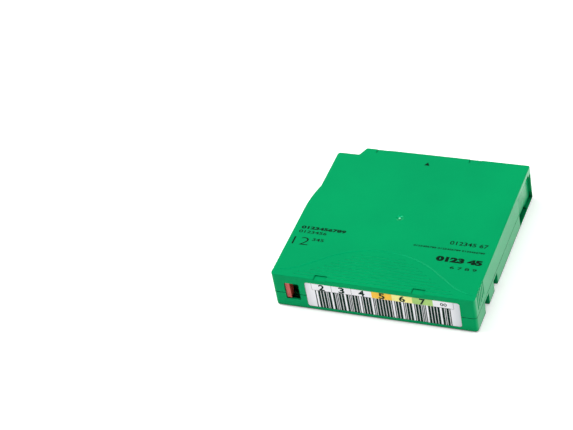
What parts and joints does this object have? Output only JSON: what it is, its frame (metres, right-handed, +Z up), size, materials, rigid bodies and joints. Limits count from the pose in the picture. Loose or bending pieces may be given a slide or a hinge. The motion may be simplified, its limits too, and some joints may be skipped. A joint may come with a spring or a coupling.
{
  "type": "data tape cartridge",
  "caption": "Flat single-reel data tape cartridge: two moulded shells with a bell-shaped grip pad, sliding leader pin door, write-protect tab and locked reel inside.",
  "frame": {"origin": "centre of the bounding box at the bottom face", "axes": "+Z up through the top plate, +Y away from the label edge, +X towards the side with the leader pin door"},
  "size_m": [0.1054, 0.102, 0.0215],
  "materials": {
    "shell_green": "fine eroded moulding texture",
    "door_green": "fine eroded moulding texture",
    "label_paper": "coated label stock",
    "tab_red": "smooth",
    "board": "solder mask",
    "chip": "moulded epoxy",
    "reel_plastic": "smooth",
    "tape": "polished edge",
    "steel": "bright",
    "brake_plastic": "smooth"
  },
  "bodies": {
    "case": {"upper_shell": "shell_green", "lower_shell": "shell_green", "case_screws": "steel", "label": "label_paper", "memory_board": "board", "memory_chip": "chip", "leader_pin": "steel", "leader_pin_clip": "brake_plastic", "leader_tape": "tape", "pin_spring_lower": "steel", "pin_spring_upper": "steel", "brake_spring": "steel", "door_spring": "steel"},
    "door": {"leader_pin_door": "door_green"},
    "write_protect": {"write_protect_slider": "tab_red"},
    "reel": {"reel_hub": "reel_plastic", "reel_upper_flange": "reel_plastic", "drive_washer": "steel", "tape_pack": "tape"},
    "brake": {"brake_button": "brake_plastic"},
    "release": {"release_pad": "brake_plastic"}
  },
  "joints": [
    {"name": "door_slide", "type": "slide", "parent": "case", "child": "door", "axis": [0, -1, 0], "range_m": [0, 0.0155], "stiffness_N_per_m": 30, "springref_m": -0.01, "deforming": ["door_spring"]},
    {"name": "write_protect_slide", "type": "slide", "parent": "case", "child": "write_protect", "axis": [1, 0, 0], "range_m": [0, 0.0045]},
    {"name": "reel_spin", "type": "hinge", "parent": "case", "child": "reel", "pos_m": [-0.0013, 0.0002, 0], "axis": [0, 0, 1], "continuous": true},
    {"name": "brake_lift", "type": "slide", "parent": "case", "child": "brake", "axis": [0, 0, 1], "range_m": [0, 0.0016], "stiffness_N_per_m": 300, "springref_m": -0.004, "deforming": ["brake_spring"]},
    {"name": "release_lift", "type": "slide", "parent": "reel", "child": "release", "axis": [0, 0, 1], "range_m": [0, 0.0016]}
  ],
  "couplings": [
    {"joint": "release_lift", "follows": "brake_lift", "ratio": 1}
  ]
}
